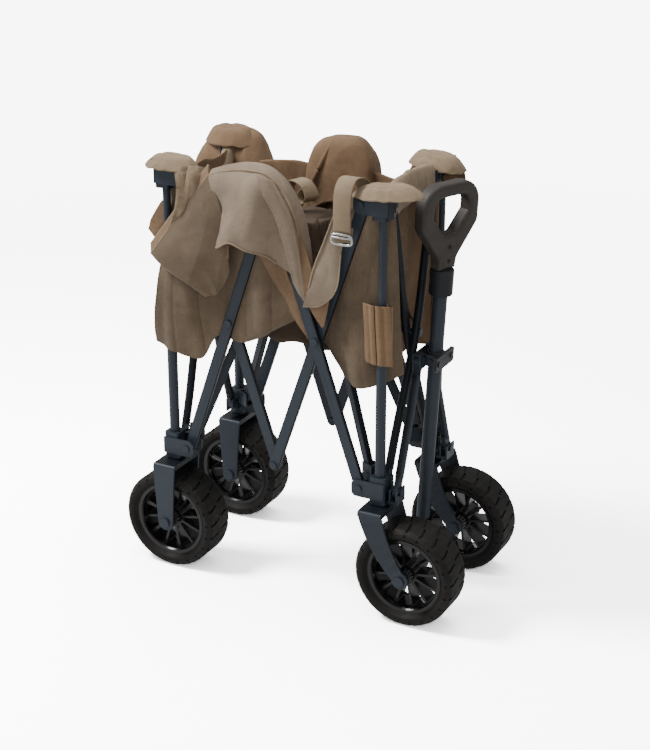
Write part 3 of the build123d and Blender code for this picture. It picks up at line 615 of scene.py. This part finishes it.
def near_drape():
    """The cloth hung over the crossing of the near bars, its hemmed band and the tail between the bars."""
    top = [(-0.108, -0.131, 0.742), (-0.075, -0.130, 0.752), (-0.040, -0.128, 0.757), (0.000, -0.128, 0.754),
           (0.032, -0.129, 0.728), (0.052, -0.130, 0.690), (0.062, -0.128, 0.640), (0.066, -0.124, 0.590)]
    ridge_in = [(-0.106, -0.112, 0.746), (-0.073, -0.106, 0.757), (-0.040, -0.102, 0.762),
                (0.002, -0.102, 0.758),
                (0.036, -0.104, 0.732), (0.058, -0.108, 0.694), (0.070, -0.112, 0.640), (0.074, -0.114, 0.590)]
    inner = [(-0.10, -0.098, 0.700), (-0.07, -0.094, 0.690), (-0.035, -0.090, 0.680), (0.002, -0.090, 0.670),
             (0.034, -0.092, 0.655), (0.056, -0.096, 0.630), (0.070, -0.104, 0.610), (0.076, -0.108, 0.585)]
    body = sheet("d", rails_of(
        inner, ridge_in, top,
        [(-0.100, -0.139, 0.722), (-0.072, -0.141, 0.735), (-0.043, -0.146, 0.738), (-0.010, -0.148, 0.732),
         (0.018, -0.1365, 0.706), (0.038, -0.1350, 0.676), (0.050, -0.134, 0.640), (0.056, -0.132, 0.600)],
        [(-0.088, -0.137, 0.690), (-0.072, -0.143, 0.698), (-0.045, -0.155, 0.700), (-0.012, -0.158, 0.692),
         (0.012, -0.1360, 0.676), (0.030, -0.1345, 0.656), (0.042, -0.132, 0.630), (0.052, -0.131, 0.602)],
        [(-0.085, -0.139, 0.655), (-0.078, -0.146, 0.658), (-0.052, -0.161, 0.668), (-0.018, -0.162, 0.655),
         (0.006, -0.1350, 0.645), (0.024, -0.1335, 0.634), (0.040, -0.131, 0.618), (0.050, -0.131, 0.600)],
        [(-0.092, -0.142, 0.622), (-0.082, -0.149, 0.626), (-0.056, -0.160, 0.640), (-0.026, -0.156, 0.630),
         (0.000, -0.134, 0.618), (0.018, -0.133, 0.608), (0.036, -0.132, 0.600), (0.048, -0.131, 0.592)]),
        DRAPE, across=170, down=130, seed=11, creases=0.0030, size=0.06, pleats=0.0012, pleat_count=3)
    edges = [hem("e1", wagon(top), radius=0.0013, count=110),
             hem("e2", wagon([(-0.092, -0.142, 0.622), (-0.082, -0.149, 0.626), (-0.056, -0.160, 0.640),
                              (-0.026, -0.156, 0.630), (0.000, -0.134, 0.618), (0.018, -0.132, 0.608)]),
                 radius=0.0010)]
    cuff = sheet("cuff", rails_of(
        [(-0.092, -0.142, 0.622), (-0.088, -0.135, 0.612), (-0.078, -0.134, 0.606), (-0.068, -0.140, 0.606)],
        [(-0.096, -0.137, 0.640), (-0.090, -0.130, 0.636), (-0.080, -0.129, 0.634), (-0.070, -0.134, 0.636)]),
        across=40, down=20, seed=3, creases=0.0012, size=0.03)
    riding(joined("right_drape", [body, cuff] + edges), "right_rear_wall")
    band_out = [(0.012, -0.1325, 0.7485), (0.030, -0.1335, 0.722), (0.050, -0.1345, 0.686),
                (0.060, -0.1335, 0.640), (0.066, -0.1310, 0.590), (0.072, -0.1290, 0.545)]
    band_in = [(-0.014, -0.1350, 0.752), (0.000, -0.1430, 0.728), (0.022, -0.1405, 0.690),
               (0.036, -0.1380, 0.646), (0.044, -0.1335, 0.606), (0.050, -0.1310, 0.578)]
    band = sheet("band", rails_of(band_in, between(band_in, band_out, -0.002), band_out),
                 DRAPE, across=90, down=26, seed=6, creases=0.0012, size=0.05)
    border = [stitches("s1", wagon([(x - 0.003, y - 0.0045, z - 0.004) for x, y, z in band_out])),
              stitches("s2", wagon([(x + 0.003, y - 0.0040, z + 0.003) for x, y, z in band_in])),
              hem("b1", wagon(band_out), radius=0.0010), hem("b2", wagon(band_in), radius=0.0008)]
    throat = sheet("throat", rails_of(
        [(0.060, -0.131, 0.665), (0.072, -0.131, 0.640), (0.084, -0.131, 0.605)],
        [(0.064, -0.131, 0.620), (0.076, -0.131, 0.605), (0.090, -0.131, 0.590)],
        [(0.068, -0.130, 0.560), (0.080, -0.131, 0.563), (0.094, -0.131, 0.570)]), across=40, down=40, seed=9,
                   creases=0.002)
    tail = sheet("tail", rails_of(
        [(-0.027, -0.127, 0.632), (-0.008, -0.129, 0.628), (0.014, -0.129, 0.612), (0.034, -0.129, 0.600)],
        [(-0.006, -0.121, 0.590), (0.010, -0.127, 0.588), (0.028, -0.128, 0.580), (0.044, -0.126, 0.572)],
        [(0.020, -0.117, 0.545), (0.034, -0.123, 0.545), (0.048, -0.123, 0.545), (0.058, -0.120, 0.540)],
        [(0.046, -0.115, 0.505), (0.056, -0.118, 0.506), (0.064, -0.118, 0.507), (0.070, -0.116, 0.506)],
        [(0.066, -0.114, 0.478), (0.069, -0.114, 0.478), (0.072, -0.114, 0.478), (0.074, -0.114, 0.479)]),
        across=50, down=90, seed=7, creases=0.0018, size=0.04)
    riding(joined("right_tail", [band, throat, tail] + border), "right_rear_wall")


# ---------------------------------------------------------------- near side, front half
def near_front():
    """The front lobe of the near wall, the folded band above it, the front cap, the strap and the sleeve."""
    lobe = sheet("right_wall_cloth_front", rails_of(
        [(0.046, -0.1125, 0.598), (0.080, -0.106, 0.580), (0.108, -0.102, 0.640), (0.128, -0.101, 0.700),
         (0.150, -0.100, 0.715),
         (0.178, -0.098, 0.718), (0.204, -0.096, 0.716), (0.214, -0.088, 0.700)],
        [(0.046, -0.1125, 0.575), (0.078, -0.105, 0.560), (0.100, -0.102, 0.585), (0.118, -0.101, 0.620),
         (0.146, -0.104, 0.620),
         (0.176, -0.106, 0.620), (0.204, -0.099, 0.620), (0.218, -0.084, 0.620)],
        [(0.046, -0.1120, 0.550), (0.074, -0.104, 0.535), (0.092, -0.101, 0.530), (0.110, -0.101, 0.532),
         (0.138, -0.108, 0.525),
         (0.170, -0.112, 0.520), (0.202, -0.100, 0.522), (0.222, -0.082, 0.530)],
        [(0.046, -0.1120, 0.525), (0.072, -0.103, 0.510), (0.088, -0.100, 0.497), (0.104, -0.100, 0.482),
         (0.134, -0.110, 0.462),
         (0.166, -0.118, 0.452), (0.202, -0.101, 0.462), (0.226, -0.080, 0.480)],
        [(0.046, -0.1120, 0.505), (0.070, -0.102, 0.492), (0.088, -0.099, 0.474), (0.106, -0.098, 0.452),
         (0.138, -0.109, 0.416),
         (0.166, -0.115, 0.408), (0.202, -0.104, 0.420), (0.228, -0.078, 0.432)]),
        SHADED_SIDE_CANVAS, across=170, down=120, seed=14, creases=0.0028, size=0.05, pleats=0.003, pleat_count=4)
    along_wall(lobe, "front", "right")
    band_top = [(0.078, -0.131, 0.575), (0.090, -0.131, 0.617), (0.107, -0.130, 0.660), (0.122, -0.128, 0.700),
                (0.138, -0.126, 0.738)]
    band_low = [(0.066, -0.129, 0.540), (0.100, -0.130, 0.548), (0.128, -0.130, 0.580), (0.136, -0.129, 0.640),
                (0.152, -0.127, 0.735)]
    band = sheet("v", rails_of(band_top, between(band_top, band_low, -0.003), band_low), DRAPE, across=100,
                 down=60, seed=15, creases=0.0018, size=0.06)
    point = sheet("p", rails_of(
        [(0.068, -0.129, 0.556), (0.090, -0.129, 0.560), (0.116, -0.129, 0.568)],
        [(0.084, -0.128, 0.530), (0.098, -0.128, 0.536), (0.112, -0.128, 0.545)],
        [(0.100, -0.127, 0.508), (0.102, -0.127, 0.509), (0.104, -0.127, 0.511)]), across=36, down=36, seed=16,
                  creases=0.0012)
    edges = [hem("e", wagon([(x, y - 0.001, z) for x, y, z in band_top]), radius=0.0011),
             hem("f", wagon(band_low[:4]), radius=0.0008)]
    piece = joined("right_band_front", [band, point] + edges)
    along_wall(piece, "front", "right")
    cover = cap("c", 0.210, -0.110, 0.056, 0.031, 0.7590, droop=0.019, seed=5, tilt=0.004)
    riding(joined("corner_cap_front_right", [cover]), "front_right_top")
    strap = ribbon("loop_strap", wagon([(0.156, -0.075, 0.735), (0.153, -0.100, 0.762), (0.149, -0.128, 0.768),
                                        (0.147, -0.143, 0.752),
                                        (0.146, -0.146, 0.720), (0.146, -0.145, 0.684)]), 0.030, 0.0018,
                   (1, 0.05, 0), LIGHT_CANVAS)
    turned = ribbon("turned", wagon([(0.146, -0.141, 0.700), (0.146, -0.143, 0.672), (0.146, -0.139, 0.668),
                                     (0.147, -0.136, 0.690)]),
                    0.028, 0.0016, (1, 0.05, 0), LIGHT_CANVAS, 30)
    riding(joined("loop_strap", [strap, turned]), "front_right_top")
    riding(buckle("strap_buckle", at(0.146, -0.1465, 0.672)), "front_right_top")
    tabs = []
    for number, (low, high) in enumerate(((0.172, 0.1945), (0.1965, 0.221))):
        rows = []
        for z in (0.562, 0.53, 0.495, 0.460):
            lean = (0.562 - z) * 0.06
            row = []
            for step in range(5):
                x = low + (high - low) * step / 4
                depth = 0.0125 - 0.35 * max(0.0, abs(x - 0.1965) - 0.006)
                row.append((x + lean, -POST_Y - depth - 0.0012 * (step % 2), z))
            rows.append(row)
        tabs.append(sheet(f"t{number}", rails_of(*rows), TAB, across=30, down=60, seed=20 + number,
                          creases=0.0006,
                          size=0.03, thickness=0.0022))
    back = sheet("tb", rails_of(*[[(0.174, -0.1165, z), (0.185, -0.104, z), (0.2037, -0.1015, z),
                                   (0.218, -0.106, z), (0.2215, -0.1165, z)]
                                  for z in (0.560, 0.51, 0.462)]), TAB, across=40, down=20, creases=0.0004)
    riding(joined("post_tab", tabs + [back]), "front_right_top")


def buckle(name, centre):
    """A flat steel loop with a middle bar."""
    half_x, half_z, wire = 0.0185, 0.0085, 0.0021
    points = []
    for step in range(48):
        angle = 2 * math.pi * step / 48
        c, s = math.cos(angle), math.sin(angle)
        points.append(centre + Vector((half_x * math.copysign(abs(c) ** 0.55, c), 0,
                                       half_z * math.copysign(abs(s) ** 0.55, s))))
    vertices, faces, sides = [], [], 12
    for i, point in enumerate(points):
        along = (points[(i + 1) % 48] - points[i - 1]).normalized()
        out = along.cross(Vector((0, 1, 0)))
        for k in range(sides):
            angle = 2 * math.pi * k / sides
            vertices.append(point + wire * (out * math.cos(angle) + Vector((0, 0.8, 0)) * math.sin(angle)))
    for i in range(48):
        for k in range(sides):
            a, b = i * sides, (i + 1) % 48 * sides
            faces.append((a + k, b + k, b + (k + 1) % sides, a + (k + 1) % sides))
    loop = mesh_piece(name, vertices, faces, STEEL)
    bar = hem("bar", [centre + Vector((-half_x, 0, 0.003)), centre + Vector((0, -0.0012, 0.003)),
                      centre + Vector((half_x, 0, 0.003))],
              STEEL, 0.0018, 1.0, 20)
    return joined(name, [loop, bar])


# ---------------------------------------------------------------- far side
def far_side():
    """The far wall, the two arches thrown over its rail, the folds beside them and the front cap."""
    for end, sign in (("rear", -1), ("front", 1)):
        outer = sign * 0.205
        rows = []
        for z, out, sag in ((0.712, 0.0, 0.0), (0.62, 0.004, 0.004), (0.53, 0.008, 0.010), (0.47, 0.012, 0.012),
                            (0.425, 0.010, 0.010)):
            rows.append([(outer + sign * out, 0.088, z), (sign * 0.165, 0.090 - sag * 0.5, z - 0.004),
                         (sign * 0.12, 0.089, z + 0.002),
                         (sign * 0.07, 0.090 - sag * 0.3, z + 0.008), (sign * 0.035, 0.090, z + 0.006),
                         (0.0, 0.090, z + 0.012)])
        lobe = sheet(f"left_wall_cloth_{end}", rails_of(*rows), across=130, down=90, seed=30 + sign,
                     creases=0.004, size=0.05,
                     pleats=0.004, pleat_count=4)
        along_wall(lobe, end, "left")
    first = hood("h", wagon([(-0.280, 0.113, 0.676), (-0.266, 0.113, 0.718), (-0.243, 0.113, 0.745),
                             (-0.208, 0.113, 0.7585),
                             (-0.172, 0.112, 0.7570), (-0.146, 0.110, 0.738), (-0.128, 0.108, 0.700)]),
                 0.036, 0.040, 0.075, 0.100, across=110, down=100, seed=33, creases=0.0035, size=0.05,
                 pleats=0.002)
    cover = cap("l", -0.202, 0.106, 0.048, 0.034, 0.7600, droop=0.030, material=CANVAS, seed=11)
    riding(joined("left_arch_rear", [first, cover]), "rear_left_top")
    second = hood("h", wagon([(-0.044, 0.104, 0.680), (-0.040, 0.104, 0.722), (-0.028, 0.104, 0.750),
                              (-0.003, 0.104, 0.766),
                              (0.028, 0.104, 0.772), (0.056, 0.104, 0.764), (0.078, 0.104, 0.738),
                              (0.088, 0.104, 0.695)]),
                  0.034, 0.036, 0.110, 0.120, across=120, down=100, seed=36, creases=0.003, size=0.06,
                  pleats=0.0015)
    peak = hem("k", wagon([(-0.030, 0.064, 0.672), (-0.014, 0.068, 0.708), (0.000, 0.078, 0.742),
                           (0.008, 0.090, 0.762)]), CANVAS, 0.0045, 1.0, 40)
    riding(joined("left_arch_centre", [second, peak]), "left_rear_wall")
    low_rail = [(-0.120, 0.108, 0.690), (-0.100, 0.108, 0.664), (-0.075, 0.108, 0.655), (-0.052, 0.108, 0.675)]
    piece = hood("left_fold_rear", wagon(low_rail), 0.020, 0.022, 0.05, 0.07, across=50, down=60, seed=39,
                 creases=0.0025, size=0.04)
    along_wall(piece, "rear", "left")
    low_rail = [(0.090, 0.108, 0.690), (0.104, 0.108, 0.672), (0.122, 0.108, 0.682), (0.140, 0.108, 0.712)]
    piece = hood("left_fold_front", wagon(low_rail), 0.020, 0.022, 0.05, 0.07, across=50, down=60, seed=41,
                 creases=0.0025, size=0.04)
    along_wall(piece, "front", "left")
    cover = cap("c", 0.196, 0.108, 0.047, 0.030, 0.7585, droop=0.024, seed=7, tilt=-0.004)
    flap = hood("f", wagon([(0.150, 0.112, 0.744), (0.180, 0.112, 0.750), (0.210, 0.112, 0.750),
                            (0.236, 0.112, 0.742)]),
                0.016, 0.030, 0.03, 0.060, across=60, down=60, seed=42, creases=0.002, size=0.04)
    riding(joined("corner_cap_front_left", [cover, flap]), "front_left_top")


# ---------------------------------------------------------------- ends, floor and inside
def ends():
    """The end walls and the rolled cloth along their tops."""
    for end, sign, deep, sag in (("rear", -1, 0.018, 0.040), ("front", 1, 0.020, 0.0)):
        rows = []
        for z, swell in ((0.722, 0.0), (0.64, 0.3), (0.54, 0.8), (0.47, 1.0), (0.428, 0.8)):
            rows.append([(sign * (POST_X + 0.004 + 0.014 * swell * (sign < 0)),
                          -0.094 - 0.024 * swell * (sign < 0), z),
                         (sign * (POST_X - deep), -0.060, z + 0.006),
                         (sign * (POST_X - deep - 0.003), -0.025, z + 0.012),
                         (sign * (POST_X - deep - 0.001), 0.015, z + 0.004),
                         (sign * (POST_X - deep), 0.055, z + 0.008),
                         (sign * (POST_X + 0.004), 0.094, z)])
        wall = sheet(f"{end}_wall_cloth", rails_of(*rows), across=110, down=90, seed=50 + sign, creases=0.003,
                     size=0.05,
                     pleats=0.002, pleat_count=4)
        across_end(wall, end)
        roll = sheet(f"{end}_top_roll", rails_of(*[
            [(sign * (POST_X - 0.006 + dx), -0.088, 0.744 + dz),
             (sign * (POST_X - 0.010 + dx), -0.04, 0.750 - sag + dz),
             (sign * (POST_X - 0.010 + dx), 0.01, 0.752 - 1.2 * sag + dz),
             (sign * (POST_X - 0.010 + dx), 0.05, 0.749 - sag + dz),
             (sign * (POST_X - 0.006 + dx), 0.09, 0.744 + dz)]
            for dx, dz in ((-0.012, -0.030), (-0.013, -0.012), (-0.006, 0.002), (0.005, 0.001), (0.012, -0.014),
                           (0.013, -0.044))]),
            LIGHT_CANVAS, across=90, down=50, seed=54 + sign, creases=0.002, size=0.03, pleats=0.001,
                     pleat_count=6)
        across_end(roll, end)


def floor_skirts():
    """The slack of the floor cloth between the foot of the long sides and the middle, under the lifted tent."""
    for side, sign_y in (("right", -1), ("left", 1)):
        for end, sign_x in (("rear", -1), ("front", 1)):
            rows = [[(sign_x * x, sign_y * y, z + dip) for x, dip in
                     ((0.186, -0.004), (0.135, 0.012), (0.09, 0.044), (0.045, 0.056), (0.0, 0.060))]
                    for y, z in ((0.099, 0.456), (0.072, 0.464), (0.043, 0.488), (0.016, 0.520))]
            # Floor slack in the darkened canvas: painted shade inside the basket
            skirt = sheet(f"{side}_floor_{end}", rails_of(*rows), SHADED_FLOOR_CANVAS, across=80, down=50,
                          seed=70 + sign_x + 2 * sign_y,
                          creases=0.004, size=0.05, pleats=0.003, pleat_count=4)
            along_wall(skirt, end, side)


def floor_tent():
    """The floor of the basket, lifted by the hub and gathered into gores down to the foot of the walls."""
    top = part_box("floor_hub")[1][2] + 0.004
    count_a, count_r = 160, 40
    vertices, faces = [], []
    centre = at(0, 0, top)
    for i in range(count_a):
        angle = 2 * math.pi * i / count_a
        c, s = math.cos(angle), math.sin(angle)
        edge = 1 / max(abs(c) / 0.130, abs(s) / 0.078)
        for j in range(count_r):
            t = j / (count_r - 1)
            reach = edge * (0.10 + 0.90 * t)
            fall = (top - FLOOR_Z) * max(0.0, (reach - HUB_REACH) / (edge - HUB_REACH)) ** 0.8
            gore = math.sin(8 * angle + 0.6 * math.sin(5 * t))
            fold = 0.012 * gore * math.sin(math.pi * t * 0.9) * (reach > HUB_REACH)
            z = top - fall + fold
            point = Vector((centre.x + c * reach, centre.y + s * reach, z))
            point.z += 0.006 * crease(point, 61, 0.05) * max(0.0, t - 0.4)
            vertices.append(point)
    for i in range(count_a):
        for j in range(count_r - 1):
            a, b = i * count_r, (i + 1) % count_a * count_r
            faces.append((a + j, a + j + 1, b + j + 1, b + j))
    first = len(vertices)
    vertices.append(centre + Vector((0, 0, 0.001)))
    for i in range(count_a):
        faces.append((first, i * count_r, (i + 1) % count_a * count_r))
    # Floor cloth in the darkened canvas: painted shade inside the basket
    tent = mesh_piece("floor_cloth", vertices, faces, SHADED_FLOOR_CANVAS, CLOTH)
    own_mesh(tent)
    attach(tent, "hub")
    strap = ribbon("pull_strap", wagon([(-0.030, 0.0, 0.640), (-0.028, 0.004, 0.668), (-0.034, 0.006, 0.694),
                                        (-0.022, 0.004, 0.712),
                                        (-0.002, 0.0, 0.712), (0.010, -0.002, 0.702), (0.016, -0.004, 0.688),
                                        (0.008, -0.004, 0.680),
                                        (0.000, -0.002, 0.690), (0.008, 0.0, 0.702)]), 0.030, 0.0016,
                   [(0.2, 1, 0), (0.5, 0.9, 0)], LIGHT_CANVAS, 90)
    riding(strap, "hub")


paint_cad()
near_rear()
near_drape()
near_front()
far_side()
ends()
floor_skirts()
floor_tent()
grip_screws()
for side in ("right", "left"):
    for end in ("rear", "front"):
        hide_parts(f"{side}_wall_{end}")
for end in ("rear", "front"):
    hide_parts(f"{end}_wall")


# ---------------------------------------------------------------- stage, lights and camera
def backdrop():
    """A white sweep, which the camera sees brighter than the wagon does, as in an overexposed studio."""
    material, tree, shader = new_material("studio_floor")
    shader.inputs["Base Color"].default_value = (0.8, 0.8, 0.8, 1)
    shader.inputs["Roughness"].default_value = 0.9
    shader.inputs["Specular IOR Level"].default_value = 0.1
    seen = node(tree, "ShaderNodeBsdfDiffuse")
    tree.links.new(ramp(tree, noise_at(tree, 0.6), [(0.3, (5.6, 5.6, 5.6)), (0.7, (5.8, 5.8, 5.8))]),
                   seen.inputs["Color"])
    glow = node(tree, "ShaderNodeEmission", Color=(WHITE, WHITE, WHITE, 1))
    place = node(tree, "ShaderNodeTexCoord")
    reach = node(tree, "ShaderNodeVectorMath")
    reach.operation = "LENGTH"
    tree.links.new(place.outputs["Object"], reach.inputs[0])
    fade = node(tree, "ShaderNodeMapRange", **{"From Min": 0.7, "From Max": 2.8})
    tree.links.new(reach.outputs["Value"], fade.inputs["Value"])
    sweep = node(tree, "ShaderNodeMixShader")
    tree.links.new(fade.outputs[0], sweep.inputs[0])
    tree.links.new(seen.outputs[0], sweep.inputs[1])
    tree.links.new(glow.outputs[0], sweep.inputs[2])
    path = node(tree, "ShaderNodeLightPath")
    both = node(tree, "ShaderNodeMixShader")
    tree.links.new(path.outputs["Is Camera Ray"], both.inputs[0])
    tree.links.new(shader.outputs[0], both.inputs[1])
    tree.links.new(sweep.outputs[0], both.inputs[2])
    tree.links.new(both.outputs[0], tree.nodes["Material Output"].inputs["Surface"])
    floor = lathe("studio", [(0.0, 0.0), (1.2, 0.0), (2.4, 0.0), (3.6, 0.0)], material)
    glow, tree, shader = new_material("studio_glow")
    light = node(tree, "ShaderNodeEmission", Strength=1.0)
    tree.links.new(ramp(tree, noise_at(tree, 0.2), [(0.3, (8.0, 8.0, 8.0)), (0.7, (8.2, 8.2, 8.2))]),
                   light.inputs["Color"])
    tree.links.new(light.outputs[0], tree.nodes["Material Output"].inputs["Surface"])
    wall = lathe("studio_wall", [(3.6, 0.0), (4.1, 0.12), (4.6, 0.6), (5.0, 1.6), (5.2, 4.0), (5.2, 9.0)], glow)
    wall.visible_diffuse = wall.visible_glossy = wall.visible_shadow = False
    wall.visible_transmission = False


def lathe(name, profile, material, sides=96):
    """A surface of revolution about the vertical through the wagon's middle."""
    vertices, faces = [], []
    for radius, height in profile:
        for k in range(sides):
            angle = 2 * math.pi * k / sides
            vertices.append((radius * math.cos(angle), radius * math.sin(angle), height))
    for ring in range(len(profile) - 1):
        for k in range(sides):
            a, b = ring * sides, (ring + 1) * sides
            faces.append((a + k, b + k, b + (k + 1) % sides, a + (k + 1) % sides))
    return mesh_piece(name, vertices, faces, material)


def area_light(name, place, target, size, power, colour=(1, 1, 1)):
    data = bpy.data.lights.new(name, "AREA")
    data.shape = "RECTANGLE"
    data.size, data.size_y = size
    data.energy = power
    data.color = colour
    light = bpy.data.objects.new(name, data)
    light.location = place
    light.rotation_euler = (Vector(target) - Vector(place)).to_track_quat("-Z", "Y").to_euler()
    bpy.context.scene.collection.objects.link(light)


def world_light(strength):
    world = bpy.data.worlds.new("studio_air")
    world.use_nodes = True
    background = world.node_tree.nodes["Background"]
    background.inputs["Color"].default_value = (1, 1, 1, 1)
    background.inputs["Strength"].default_value = strength
    bpy.context.scene.world = world


def photo_camera():
    data = bpy.data.cameras.new("camera")
    data.lens, data.sensor_width = LENS, SENSOR
    camera = bpy.data.objects.new("camera", data)
    camera.location = CAMERA_PLACE
    camera.rotation_euler = (CAMERA_TILT, 0, CAMERA_TURN)
    bpy.context.scene.collection.objects.link(camera)
    bpy.context.scene.camera = camera


backdrop()
world_light(0.52)
area_light("key", (-1.5, -0.7, 2.3), (0, 0, 0.4), (0.7, 0.7), 88, (1.0, 0.99, 0.97))
area_light("fill", (1.6, -2.4, 1.8), (0, 0, 0.4), (1.6, 1.2), 12)
area_light("top", (0.2, 0.4, 3.0), (0, 0, 0.3), (2.0, 2.0), 34)
photo_camera()
